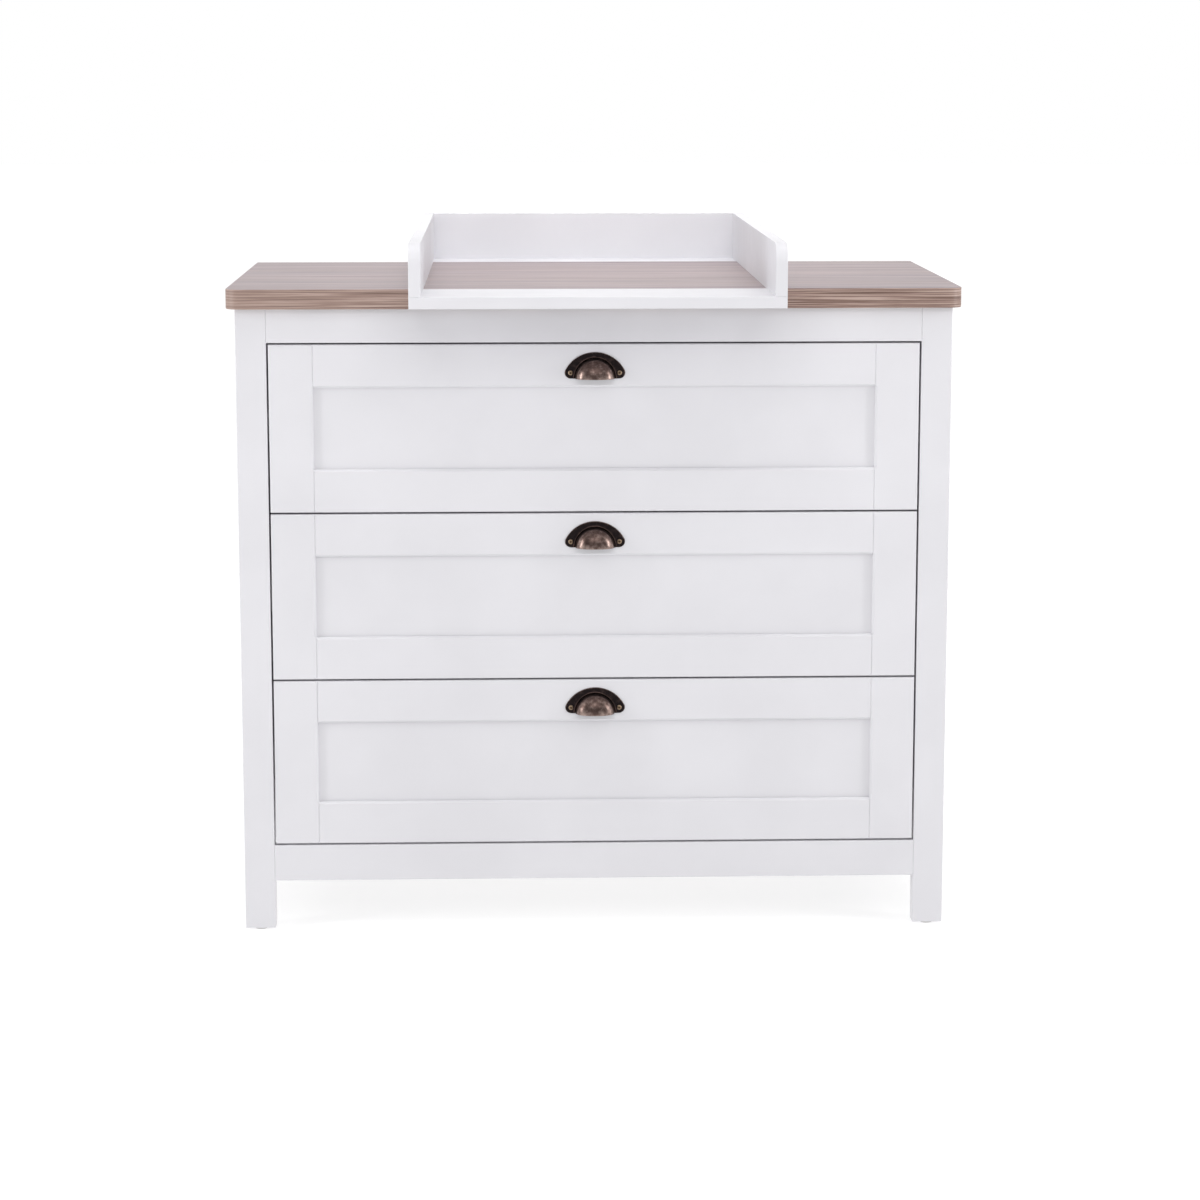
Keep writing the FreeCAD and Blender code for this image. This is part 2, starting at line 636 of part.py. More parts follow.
def front_stile(name, z):
    """The left stile of a drawer front, rebated behind for the panel and bevelled down to it."""
    stile = board(name, (f"-{front_half}", f"-{field_half}"), (cabinet_front, box_front), z)
    cut_box(stile, (f"({stile_width} - {panel_rebate})", stile_width), (front_recess, front_thickness),
            (f"({rail_height} - {panel_rebate})", f"({front_height} - {rail_height} + {panel_rebate})"))
    width, height = value(stile_width), value(front_height)
    soften(stile, "Chamfer", joint_chamfer, lambda edge: lies_on(edge, "x", width) and lies_on(edge, "y", 0))
    inner = width - value(joint_chamfer)
    soften(stile, "Fillet", front_rounding,
           lambda edge: lies_on(edge, "y", 0) and not lies_on(edge, "x", inner))
    sketch = stile.newObject("Sketcher::SketchObject", name + "_bevel_section")
    plane = next(item for item in stile.Origin.OriginFeatures if item.Role == "XY_Plane")
    sketch.AttachmentSupport = [(plane, "")]
    sketch.MapMode = "FlatFace"
    sketch.setExpression(".AttachmentOffset.Base.z", rail_height)
    bevel = value(frame_bevel)
    corners = [V(width - bevel, 0, 0), V(width, 0, 0), V(width, bevel, 0)]
    for one, other in zip(corners, corners[1:] + corners[:1]):
        sketch.addGeometry(Part.LineSegment(one, other), False)
    for line in range(3):
        sketch.addConstraint(Sketcher.Constraint("Coincident", line, 2, (line + 1) % 3, 1))
    sketch.addConstraint(Sketcher.Constraint("Horizontal", 0))
    sketch.addConstraint(Sketcher.Constraint("Vertical", 1))
    sketch.addConstraint(Sketcher.Constraint("PointOnObject", 0, 1, -1))
    for kind, items, number, expression in (
            ("DistanceX", (-1, 1, 0, 2), width, stile_width),
            ("DistanceX", (0, 1, 0, 2), bevel, frame_bevel),
            ("DistanceY", (1, 1, 1, 2), bevel, frame_bevel)):
        constraint = sketch.addConstraint(Sketcher.Constraint(kind, *items, number))
        sketch.setExpression(f"Constraints[{constraint}]", expression)
    doc.recompute()
    before = stile.Tip.Shape.Volume
    pocket = stile.newObject("PartDesign::Pocket", name + "_bevel")
    pocket.Profile = sketch
    pocket.Reversed = True
    pocket.setExpression("Length", f"{front_height} - 2 * {rail_height}")
    stile.Tip = pocket
    doc.recompute()
    if not pocket.Shape.Volume < before:
        raise RuntimeError(name + ": the bevel cut nothing")
    return stile


def front_rail(name, bottom, at_top):
    """A level member of a drawer front between the stiles."""
    low = f"({bottom} + {front_height} - {rail_height})" if at_top else bottom
    rail = board(name, (f"-{field_half}", field_half), (cabinet_front, box_front),
                 (low, f"({low} + {rail_height})"))
    rebate_z = ("0", panel_rebate) if at_top else (f"({rail_height} - {panel_rebate})", rail_height)
    length, height = 2 * value(field_half), value(rail_height)
    cut_box(rail, ("0", f"2 * {field_half}"), (front_recess, front_thickness), rebate_z)
    outer, inner = (height, 0) if at_top else (0, height)
    soften(rail, "Chamfer", joint_chamfer, lambda edge: lies_on(edge, "y", 0)
           and (lies_on(edge, "x", 0) or lies_on(edge, "x", length)))
    soften(rail, "Fillet", front_rounding, lambda edge: lies_on(edge, "y", 0) and lies_on(edge, "z", outer))
    soften(rail, "Chamfer", frame_bevel, lambda edge: lies_on(edge, "y", 0) and lies_on(edge, "z", inner))
    return rail


def drawer(index, title):
    """One drawer: its panelled front, box, bottom, cup pull, screws and moving runner members."""
    bottom = drawer_bottom(index)
    name = title + "_drawer"
    z = (bottom, f"({bottom} + {front_height})")
    box_low = f"({bottom} + {box_bottom_clearance})"
    box_high = f"({bottom} + {front_height} - {box_top_clearance})"
    groove_low = f"({box_low} + {bottom_groove_height})"
    groove_high = f"({groove_low} + {box_bottom_thickness})"

    front_screws = []
    screw_x = f"(({box_inner_half} + {field_half}) / 2)"
    inner_face = f"({box_front} + {box_thickness})"
    length = f"({box_thickness} + {front_thickness} - {front_screw_cover})"
    for x in (f"-{screw_x}", screw_x):
        for level in (f"{box_low} + {front_screw_inset}", f"{box_high} - {front_screw_inset}"):
            front_screws.append(Fastener(f"{name}_front_screw_{len(front_screws)}", "-y", front_screw, length,
                                         (x, inner_face, level), front_screw_head, front_screw))

    pull_base = ("0", cabinet_front, f"({z[1]} - {handle_drop} - {handle_height})")
    pull_screws = []
    for sign in ("-", ""):
        at = shift(pull_base, f"{sign}{arch_reach}", f"-{handle_plate}", handle_ear)
        pull_screws.append(Fastener(f"{name}_pull_screw_{len(pull_screws)}", "+y", handle_screw,
                                    handle_screw_length, at, handle_screw_head, handle_screw))

    stiles = []
    left_stile = front_stile(name + "_stile", z)
    for side, blank in (("left", left_stile), ("right", mirrored(name + "_stile_right", left_stile))):
        holes = front_screws[:2] if side == "left" else front_screws[2:]
        stiles.append(drilled(f"{name}_{side}_stile", blank, [screw.hole for screw in holes]))
    node(name + "_front_stiles", group(name + "_front_stiles", stiles))
    top_rail = drilled(name + "_top_rail", front_rail(name + "_top_rail_blank", bottom, True),
                       [screw.hole for screw in pull_screws])
    bottom_rail = front_rail(name + "_bottom_rail", bottom, False)
    node(name + "_front_rails", group(name + "_front_rails", [top_rail, bottom_rail]))
    panel_half = f"({field_half} + {panel_rebate})"
    panel_edge = f"{rail_height} - {panel_rebate}"
    node(name + "_front_panel", board(name + "_front_panel", (f"-{panel_half}", panel_half),
                                      (f"({cabinet_front} + {front_recess})", box_front),
                                      (f"({z[0]} + {panel_edge})", f"({z[1]} - ({panel_edge}))")))

    side = board(name + "_box_side", (f"-{box_half}", f"-{box_inner_half}"), (box_front, box_back),
                 (box_low, box_high))
    groove_x = (f"({box_thickness} - {bottom_groove_depth})", box_thickness)
    groove_z = (bottom_groove_height, f"({bottom_groove_height} + {box_bottom_thickness})")
    cut_box(side, groove_x, ("0", box_length), groove_z)
    node(name + "_box_sides", both_sides(name + "_box_sides", side))
    box_width = (f"-{box_inner_half}", box_inner_half)
    inner_front = board(name + "_box_front_blank", box_width, (box_front, inner_face), (box_low, box_high))
    cut_box(inner_front, ("0", f"2 * {box_inner_half}"), groove_x, groove_z)
    front_holes = [screw.hole for screw in front_screws]
    node(name + "_box_front", drilled(name + "_box_front", inner_front, front_holes))
    node(name + "_box_back", board(name + "_box_back", box_width,
                                   (f"({box_back} - {box_thickness})", box_back),
                                   (groove_high, box_high)))
    floor_half = f"({box_inner_half} + {bottom_groove_depth})"
    node(name + "_box_bottom", board(name + "_box_bottom", (f"-{floor_half}", floor_half),
                                     (f"({inner_face} - {bottom_groove_depth})", box_back),
                                     (groove_low, groove_high)))

    node(name + "_handle", cup_pull(name + "_handle", pull_base, pull_screws))
    node(name + "_handle_screws", group(name + "_handle_screws", [screw.solid for screw in pull_screws]))
    node(name + "_front_screws", group(name + "_front_screws", [screw.solid for screw in front_screws]))

    middle = runner_member(name + "_middle_member", index, nested_step, middle_height, True, runner_y)
    node(name + "_runner_middle", both_sides(name + "_runner_middle", middle))
    inner = runner_member(name + "_inner_member", index, f"({runner_width} - {runner_flange})", inner_height,
                          False, runner_y)
    node(name + "_runner_inner", both_sides(name + "_runner_inner", inner))


for index, title in enumerate(DRAWERS):
    drawer(index, title)


# ---------------------------------------------------------------- changing tray

tray_floor = f"({worktop_height} - {tray_thickness})"
screw_head = (tray_screw_head, tray_screw)
front_board_back = f"({worktop_front} - {tray_clearance})"
rear_board_front = f"({worktop_back} + {tray_clearance})"
tray_joint_x = f"({tray_half} - {tray_thickness} / 2)"
back_middle_y = f"({tray_back_face} + {tray_thickness} / 2)"

tray_screws = {"left": [], "right": []}
for side, sign, aim in (("left", "-", "+x"), ("right", "", "-x")):
    inset_y = (f"{tray_front} + {tray_screw_inset}", f"{front_board_back} - {tray_screw_inset}",
               f"{rear_board_front} + {tray_screw_inset}")
    for y in inset_y:
        at = (f"{sign}{tray_joint_x}", y, f"{tray_floor} + {tray_screw}")
        name = f"tray_{side}_screw_{len(tray_screws[side])}"
        tray_screws[side].append(Fastener(name, "+z", tray_screw, tray_screw_length, at, *screw_head))
    head_x = f"{sign}({tray_half} - {tray_screw})"
    for z in (f"{worktop_height} + {tray_screw_inset}", f"{tray_top} - {tray_screw_inset}"):
        name = f"tray_{side}_screw_{len(tray_screws[side])}"
        tray_screws[side].append(Fastener(name, aim, tray_screw, tray_screw_length,
                                          (head_x, back_middle_y, z),
                                          *screw_head))


def tray_holes(side, *places):
    """Holes of the tray screws at the given places along one side."""
    return [tray_screws[side][index].hole for index in places]


def tray_side(side):
    """A side board that stands on the worktop, with its upper front corner rounded off."""
    left = side == "left"
    x = (f"-{tray_half}", f"-{tray_inner_half}") if left else (tray_inner_half, tray_half)
    blank = board(f"tray_{side}_blank", x, (tray_front, tray_rear), (worktop_height, tray_top))
    height = value(tray_side_height)
    soften(blank, "Fillet", tray_corner, lambda edge: lies_on(edge, "y", 0) and lies_on(edge, "z", height))
    depth = value(overall_depth)
    soften(blank, "Fillet", eased_edge,
           lambda edge: not lies_on(edge, "z", 0) and not lies_on(edge, "y", depth)
           and (lies_on(edge, "x", 0) or lies_on(edge, "x", value(tray_thickness))))
    return drilled(f"tray_{side}_side", blank, tray_holes(side, 0, 1, 2, 3, 4))


node("tray_left_side", tray_side("left"))
node("tray_right_side", tray_side("right"))

back_board = board("tray_back_blank", (f"-{tray_inner_half}", tray_inner_half), (tray_back_face, tray_rear),
                   (worktop_height, tray_top))
ease(back_board, "z", (tray_side_height,), f"{eased_edge} / 2")
node("tray_back_panel", drilled("tray_back_panel", back_board,
                                tray_holes("left", 3, 4) + tray_holes("right", 3, 4)))
front_board = board("tray_front_blank", (f"-{tray_half}", tray_half), (tray_front, front_board_back),
                    (tray_floor, worktop_height))
ease(front_board, "y", ("0",))
node("tray_front_board", drilled("tray_front_board", front_board,
                                 tray_holes("left", 0, 1) + tray_holes("right", 0, 1)))
rear_board = board("tray_rear_blank", (f"-{tray_half}", tray_half), (rear_board_front, tray_rear),
                   (tray_floor, worktop_height))
node("tray_rear_board",
     drilled("tray_rear_board", rear_board, tray_holes("left", 2) + tray_holes("right", 2)))
node("tray_screws", group("tray_screws", [screw.solid for pair in tray_screws.values() for screw in pair]))


# ---------------------------------------------------------------- checks and files

doc.recompute()
for thing in doc.Objects:
    if "Invalid" in thing.State or "Error" in thing.State:
        raise RuntimeError(f"{thing.Label}: {thing.State}")
if len({thing.Label for thing in nodes}) != len(nodes):
    raise RuntimeError("two sub-parts share a label")
for thing in nodes:
    if thing.Shape.isNull() or not thing.Shape.isValid() or not thing.Shape.Solids:
        raise RuntimeError(f"{thing.Label}: bad shape")

os.makedirs("parts", exist_ok=True)
for thing in nodes:
    thing.Shape.exportStep(f"parts/{thing.Label}.step")
print(len(nodes), "sub-parts written")
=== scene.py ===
"""Looks of a nursery chest of drawers with a changing tray, built round its fixed CAD frame.

Metres, +Z up, drawers open towards -Y. The chest's boards, rails and runners are the frame's own
meshes with lacquer, wood-decor, board and steel materials. The cast cup pulls and their screws are
worked out here as surfaces.
"""
import math

import bpy
import numpy as np
from bpy.props import FloatProperty, FloatVectorProperty, PointerProperty
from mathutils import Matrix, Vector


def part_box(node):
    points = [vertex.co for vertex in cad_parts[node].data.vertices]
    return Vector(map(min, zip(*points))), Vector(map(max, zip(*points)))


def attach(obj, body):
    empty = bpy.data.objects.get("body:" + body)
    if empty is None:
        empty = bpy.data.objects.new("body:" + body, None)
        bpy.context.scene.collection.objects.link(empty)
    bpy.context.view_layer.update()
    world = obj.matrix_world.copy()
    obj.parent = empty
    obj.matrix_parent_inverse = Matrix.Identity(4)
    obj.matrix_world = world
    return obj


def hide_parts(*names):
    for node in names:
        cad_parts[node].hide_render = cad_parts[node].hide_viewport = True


bl_info = {
    "name": "Changing table",
    "version": (1, 0, 0),
    "blender": (4, 5, 0),
    "location": "3D View > Sidebar > Changing table",
    "description": "Finishes, cup pulls and stage of a chest of drawers with a changing tray",
    "category": "Object",
}

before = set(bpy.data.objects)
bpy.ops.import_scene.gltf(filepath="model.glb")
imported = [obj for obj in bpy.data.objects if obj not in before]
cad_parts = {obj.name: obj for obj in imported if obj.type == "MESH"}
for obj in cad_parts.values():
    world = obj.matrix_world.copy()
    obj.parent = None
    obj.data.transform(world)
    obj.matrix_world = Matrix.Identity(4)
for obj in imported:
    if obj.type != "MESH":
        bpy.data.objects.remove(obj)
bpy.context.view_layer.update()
DRAWERS = ("top", "middle", "bottom")
MM = 0.001


# ---------------------------------------------------------------- colours and settings

def linear(code):
    """An sRGB hex colour as linear red, green and blue."""
    channels = (int(code[i:i + 2], 16) / 255 for i in (0, 2, 4))
    return tuple(c / 12.92 if c <= 0.04045 else ((c + 0.055) / 1.055) ** 2.4 for c in channels)


def colour(name, code, description):
    """A colour property with an sRGB hex default."""
    return FloatVectorProperty(name=name, description=description, default=linear(code), subtype="COLOR",
                               min=0, max=1)


def length(name, default, description):
    """A length property, in metres."""
    return FloatProperty(name=name, description=description, default=default, unit="LENGTH", precision=5)


class TABLE_PG_colours(bpy.types.PropertyGroup):
    lacquer: colour("Lacquer", "D8D7DB", "Sprayed white lacquer of carcass, fronts and tray")
    lacquer_shade: colour("Lacquer shade", "D4D3D7", "The same lacquer where its film is a little thinner")
    decor_light: colour("Decor light", "AD978D", "Palest streaks of the worktop's wood decor")
    decor_mid: colour("Decor", "846B61", "Ground tone of the worktop's wood decor")
    decor_dark: colour("Decor dark", "5A4138", "Darkest streaks of the worktop's wood decor")
    # The worktop face's tone is partly the laminate's own grey-brown and partly a painted reflection: the
    # cooler, paler tint of the pale room seen at a grazing angle.
    decor_top_painted_sheen: colour("Decor on top", "938B95", "Cooler ground tone of the laminate on the worktop's face")
    bronze_dark: colour("Bronze, dark", "1D1718", "Dark patina in the hollows of a cup pull")
    bronze: colour("Bronze", "5A4944", "Brown patina on the dome of a cup pull")
    # Also the colour of the painted highlight on the lower left and right of each cup.
    bronze_rubbed_and_sheen: colour("Bronze, rubbed", "B5A097", "Bare metal where hands and polish reach")
    brass: colour("Brass", "94806C", "Aged brass of the cup pull's screws")
    brass_dark: colour("Brass, dark", "4A3A2C", "Tarnish in the recess of a screw")
    foil: colour("Foil", "E6E4E1", "White foil on the drawer boxes")
    hardboard: colour("Hardboard", "E4E3E4", "Painted face of the back panel")
    steel: colour("Steel", "B9BBBD", "Zinc-plated sheet steel and screws")
    beech: colour("Beech", "C9A77C", "Turned beech of the dowels")
    plastic: colour("Plastic", "D8D7D4", "Moulded polyethylene of the glides")
    floor: colour("Floor", "ACACAC", "Translucent studio floor, lit from below")


class TABLE_PG_pull(bpy.types.PropertyGroup):
    plate: length("Plate", 1.8 * MM, "Thickness of the plate behind the cup")
    wall: length("Wall", 1.8 * MM, "Wall of the cup")
    rounding: length("Rounding", 0.9 * MM, "Rounding of the plate's outer edge")
    bead: length("Bead", 0.7 * MM, "Height of the raised line round the cup")
    bead_width: length("Bead width", 0.9 * MM, "Half width of that line")
    ear: length("Ear", 8.1 * MM, "Radius of the plate's rounded ears")
    cup_radius: length("Cup radius", 28 * MM, "Half the cup's width at the plate")


class TABLE_PG_stage(bpy.types.PropertyGroup):
    camera: FloatVectorProperty(name="Camera", description="Where the camera stands", subtype="XYZ",
                                unit="LENGTH", default=(-0.1202, -4.2301, 1.2418))
    turn: FloatProperty(name="Turn", description="Camera turned to the right of straight ahead",
                        default=0.0318, subtype="ANGLE")
    tilt: FloatProperty(name="Tilt", description="Camera tilted down from level", default=0.1505,
                        subtype="ANGLE")
    lens: FloatProperty(name="Lens", description="Focal length on a 36 mm sensor, in millimetres",
                        default=86.05)
    shift: FloatProperty(name="Shift", description="Lens shift that centres the chest in the frame",
                         default=-0.09)
    overhead: FloatProperty(name="Overhead light", description="Large softbox above the chest", default=14,
                            unit="POWER")
    side: FloatProperty(name="Side lights", description="Tall softboxes left and right of the camera",
                        default=20, unit="POWER")
    key: FloatProperty(name="Key light", description="Softbox above the camera", default=35, unit="POWER")
    tray: FloatProperty(name="Tray light", description="Narrow light on the tray", default=1.6, unit="POWER")
    room: FloatProperty(name="Dark side", description="Light from the camera's side of the room",
                        default=0.2)
    world: FloatProperty(name="Room light", description="Even light from all round", default=1.0)
    floor_glow: FloatProperty(name="Lit floor", description="Light given off by the translucent floor",
                              default=0.66)


# ---------------------------------------------------------------- material building

def add(tree, kind, links=None, **settings):
    """Adds a shader node. `settings` are its properties or, with socket names, its input values.

    A setting whose name is an attribute of the node is set there. Any other goes to the input socket
    of that name, with underscores read as spaces. `links` maps input names to output sockets.
    """
    item = tree.nodes.new("ShaderNode" + kind)
    for key, setting in settings.items():
        if hasattr(item, key):
            setattr(item, key, setting)
        else:
            item.inputs[key.replace("_", " ")].default_value = setting
    for key, output in (links or {}).items():
        tree.links.new(output, item.inputs[key])
    return item


def new_material(name):
    """An empty node material with its output node."""
    material = bpy.data.materials.new(name)
    material.use_nodes = True
    tree = material.node_tree
    tree.nodes.clear()
    return material, tree, tree.nodes.new("ShaderNodeOutputMaterial")


def stretched(tree, scale):
    """Object coordinates in metres, multiplied by a scale on each axis."""
    place = add(tree, "TexCoord").outputs["Object"]
    return add(tree, "Mapping", {"Vector": place}, Scale=scale).outputs["Vector"]


def spots(tree, scale, detail, roughness=0.5):
    """Even noise over stretched object coordinates."""
    return add(tree, "TexNoise", {"Vector": stretched(tree, scale)}, Scale=1.0, Detail=detail,
               Roughness=roughness).outputs["Fac"]


def ramp(tree, factor, low, high, colours):
    """Colours spread evenly between two levels of a factor."""
    item = add(tree, "ValToRGB", {"Fac": factor})
    stops = item.color_ramp.elements
    while len(stops) < len(colours):
        stops.new(0.5)
    for i, (stop, rgb) in enumerate(zip(stops, colours)):
        stop.position = low + (high - low) * i / (len(colours) - 1)
        stop.color = (*rgb, 1)
    return item.outputs["Color"]


def levels(tree, factor, low, high, start=0.0, end=1.0):
    """A factor stretched so that low becomes start and high becomes end."""
    return add(tree, "MapRange", {"Value": factor}, From_Min=low, From_Max=high, To_Min=start,
               To_Max=end).outputs["Result"]


def mixed(tree, factor, one, other):
    """Two colours mixed. Each is a socket or a linear colour, and so is the factor."""
    item = add(tree, "Mix", data_type="RGBA")
    for index, source in ((0, factor), (6, one), (7, other)):
        if isinstance(source, bpy.types.NodeSocket):
            tree.links.new(source, item.inputs[index])
        else:
            item.inputs[index].default_value = source if index == 0 else (*source, 1)
    return item.outputs[2]


def bumped(tree, height, distance, strength):
    """A normal that follows a height, whose full range is a distance in metres."""
    return add(tree, "Bump", {"Height": height}, Strength=strength, Distance=distance).outputs["Normal"]


def finish(tree, output, links, **settings):
    """A Principled shader joined to the output."""
    shader = add(tree, "BsdfPrincipled", links, **settings)
    tree.links.new(shader.outputs["BSDF"], output.inputs["Surface"])


def white_lacquer(hues):
    """Polyurethane lacquer, sprayed on MDF: an even satin white with the faint orange peel of spraying."""
    material, tree, output = new_material("white_lacquer_sprayed")
    film = spots(tree, (7, 7, 7), 3)
    base = mixed(tree, levels(tree, film, 0.35, 0.65), tuple(hues.lacquer), tuple(hues.lacquer_shade))
    peel = spots(tree, (420, 420, 420), 2)  # about 2.4 mm from crest to crest
    gloss = levels(tree, spots(tree, (30, 30, 30), 4), 0.3, 0.7, 0.36, 0.44)
    finish(tree, output, {"Base Color": base, "Roughness": gloss,
                          "Normal": bumped(tree, peel, 0.03 * MM, 0.6)}, IOR=1.5)
    return material


def wood_decor(hues):
    """Printed oak decor, pressed with a grain: streaks along the board, stronger on the edge band."""
    material, tree, output = new_material("oak_decor_pressed")
    tone = spots(tree, (1.1, 30, 30), 3)  # broad bands, about 30 mm wide
    streak = spots(tree, (3.2, 110, 110), 6, 0.62)  # streaks about 9 mm wide on the face
    place = add(tree, "SeparateXYZ", {"Vector": add(tree, "TexCoord").outputs["Object"]}).outputs
    round_board = add(tree, "Math", {0: place["X"], 1: place["Y"]}, operation="ADD").outputs[0]
    band = add(tree, "CombineXYZ", {"X": round_board, "Z": place["Z"]}).outputs["Vector"]
    band = add(tree, "Mapping", {"Vector": band}, Scale=(5, 1, 520)).outputs["Vector"]
    # lines about 2 mm wide that run round the board
    line = add(tree, "TexNoise", {"Vector": band}, Scale=1.0, Detail=5, Roughness=0.6).outputs["Fac"]
    pore = spots(tree, (22, 900, 900), 2, 0.6)  # pores about 1 mm wide, as fine as they can show
    woods = tuple(hues.decor_dark), tuple(hues.decor_mid), tuple(hues.decor_light)
    edge = ramp(tree, line, 0.38, 0.6, woods)
    # on the worktop's face the real streaks are mixed with that cooler, paler tone, a painted reflection of
    # the pale room at a grazing angle
    face = mixed(tree, 0.62, ramp(tree, streak, 0.36, 0.62, woods), tuple(hues.decor_top_painted_sheen))
    upright = add(tree, "NewGeometry").outputs["Normal"]
    up = add(tree, "SeparateXYZ", {"Vector": upright}).outputs["Z"]
    # faces that point up take the face tone with its painted reflection; the edge band keeps its own stronger
    # streaks
    top_face_sheen_mask = levels(tree, up, 0.5, 0.9)
    ground = mixed(tree, top_face_sheen_mask, edge, face)
    banded = mixed(tree, levels(tree, tone, 0.35, 0.65, 0.0, 0.3), ground, tuple(hues.decor_light))
    pores = mixed(tree, levels(tree, pore, 0.62, 0.74, 0.0, 0.35), banded, tuple(hues.decor_dark))
    gloss = levels(tree, streak, 0.3, 0.7, 0.5, 0.4)
    finish(tree, output, {"Base Color": pores, "Roughness": gloss,
                          "Normal": bumped(tree, streak, 0.15 * MM, 0.5)}, IOR=1.5)
    return material


def antique_bronze(hues):
    """Cast zinc, bronze plated and patinated: nearly black hollows, a brown dome and rubbed copper edges.

    The wear attribute read here says how far hands and polish have rubbed the patina; on the lower left and
    right of each cup it also holds a painted highlight.
    """
    material, tree, output = new_material("antique_bronze_patinated")
    rub_and_sheen = add(tree, "Attribute", attribute_name="rub_and_sheen").outputs["Fac"]
    cloud = spots(tree, (160, 160, 160), 5, 0.6)  # stains a few millimetres across
    grit = spots(tree, (1500, 1500, 1500), 3, 0.6)
    uneven = add(tree, "Math", {0: levels(tree, cloud, 0.3, 0.7, -0.16, 0.16), 1: rub_and_sheen},
                 operation="ADD").outputs[0]
    worn_and_sheen = add(tree, "Math", {0: levels(tree, grit, 0.3, 0.7, -0.08, 0.08), 1: uneven},
               operation="ADD").outputs[0]
    base = ramp(tree, worn_and_sheen, 0.05, 0.95,
                (tuple(hues.bronze_dark), tuple(hues.bronze), tuple(hues.bronze_rubbed_and_sheen)))
    gloss = levels(tree, worn_and_sheen, 0.0, 0.8, 0.4, 0.28)
    finish(tree, output, {"Base Color": base, "Roughness": gloss,
                          "Normal": bumped(tree, cloud, 0.12 * MM, 0.5)}, Metallic=0.92)
    return material


def aged_brass(hues):
    """Turned brass, tarnished: yellow-brown with dark tarnish in the screw's recess."""
    material, tree, output = new_material("aged_brass_turned")
    depth = add(tree, "Attribute", attribute_name="rub_and_sheen").outputs["Fac"]
    stain = spots(tree, (700, 700, 700), 3)
    uneven = add(tree, "Math", {0: levels(tree, stain, 0.3, 0.7, -0.2, 0.2), 1: depth},
                 operation="ADD").outputs[0]
    base = ramp(tree, uneven, 0.1, 0.8, (tuple(hues.brass_dark), tuple(hues.brass)))
    finish(tree, output, {"Base Color": base, "Roughness": levels(tree, stain, 0.3, 0.7, 0.3, 0.45)},
           Metallic=1.0)
    return material


def foil_board(hues):
    """Melamine foil on chipboard, pressed: a flat cool white with a fine leathery emboss."""
    material, tree, output = new_material("melamine_foil_pressed")
    tone = levels(tree, spots(tree, (5, 5, 5), 3), 0.3, 0.7)
    base = mixed(tree, tone, tuple(hues.foil), tuple(hues.lacquer_shade))
    emboss = spots(tree, (900, 900, 900), 2)  # about 1 mm grains
    finish(tree, output, {"Base Color": base, "Roughness": levels(tree, tone, 0, 1, 0.5, 0.56),
                          "Normal": bumped(tree, emboss, 0.04 * MM, 0.6)}, IOR=1.5)
    return material


def painted_hardboard(hues):
    """Hardboard, roller painted: a matt white with a soft fibre stipple."""
    material, tree, output = new_material("hardboard_rolled_paint")
    fibre = spots(tree, (260, 260, 260), 5, 0.7)
    base = mixed(tree, levels(tree, fibre, 0.35, 0.7), tuple(hues.hardboard), tuple(hues.lacquer_shade))
    finish(tree, output, {"Base Color": base, "Roughness": levels(tree, fibre, 0.3, 0.7, 0.6, 0.72),
                          "Normal": bumped(tree, fibre, 0.1 * MM, 0.6)}, IOR=1.5)
    return material


def zinc_steel(hues):
    """Sheet steel, rolled and zinc plated: a grey sheen with fine lines along the rolling direction."""
    material, tree, output = new_material("zinc_steel_rolled")
    lines = spots(tree, (700, 12, 700), 3)
    spangle = spots(tree, (90, 90, 90), 2)
    base = mixed(tree, levels(tree, spangle, 0.3, 0.7, 0.0, 0.35), tuple(hues.steel),
                 tuple(hues.lacquer_shade))
    finish(tree, output, {"Base Color": base, "Roughness": levels(tree, lines, 0.3, 0.7, 0.28, 0.42),
                          "Normal": bumped(tree, lines, 0.02 * MM, 0.5)}, Metallic=1.0)
    return material


def turned_beech(hues):
    """Beech, turned and left bare: pale brown with short dark flecks."""
    material, tree, output = new_material("beech_turned")
    fleck = spots(tree, (60, 300, 300), 4, 0.6)
    base = ramp(tree, fleck, 0.3, 0.7, (tuple(hues.decor_dark), tuple(hues.beech), tuple(hues.beech)))
    finish(tree, output, {"Base Color": base, "Roughness": levels(tree, fleck, 0.3, 0.7, 0.55, 0.65)},
           IOR=1.5)
    return material


def moulded_plastic(hues):
    """Polyethylene, injection moulded: a soft waxy white with a fine spark-eroded grain."""
    material, tree, output = new_material("polyethylene_moulded")
    grain = spots(tree, (1100, 1100, 1100), 2)
    base = mixed(tree, levels(tree, grain, 0.3, 0.7, 0.0, 0.3), tuple(hues.plastic),
                 tuple(hues.lacquer_shade))
    finish(tree, output, {"Base Color": base, "Roughness": levels(tree, grain, 0.3, 0.7, 0.45, 0.55),
                          "Normal": bumped(tree, grain, 0.03 * MM, 0.6)}, IOR=1.51)
    return material


def paint(names, material):
    """Gives CAD nodes a material in place of their plain one."""
    for name in names:
        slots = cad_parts[name].material_slots
        for item in slots:
            item.material = material


def nodes_of(*endings):
    """The CAD nodes whose names end in one of these words."""
    return [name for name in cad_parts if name.endswith(endings)]


# ---------------------------------------------------------------- surfaces

def grid_faces(rows, columns, wrap_rows=False, wrap_columns=False):
    """Quads over a grid of points stored row by row, closed along either side if asked."""
    row = np.arange(rows if wrap_rows else rows - 1)
    column = np.arange(columns if wrap_columns else columns - 1)
    r, c = (part.ravel() for part in np.meshgrid(row, column, indexing="ij"))
    r1, c1 = (r + 1) % rows, (c + 1) % columns
    return np.stack([r * columns + c, r * columns + c1, r1 * columns + c1, r1 * columns + c], axis=1)


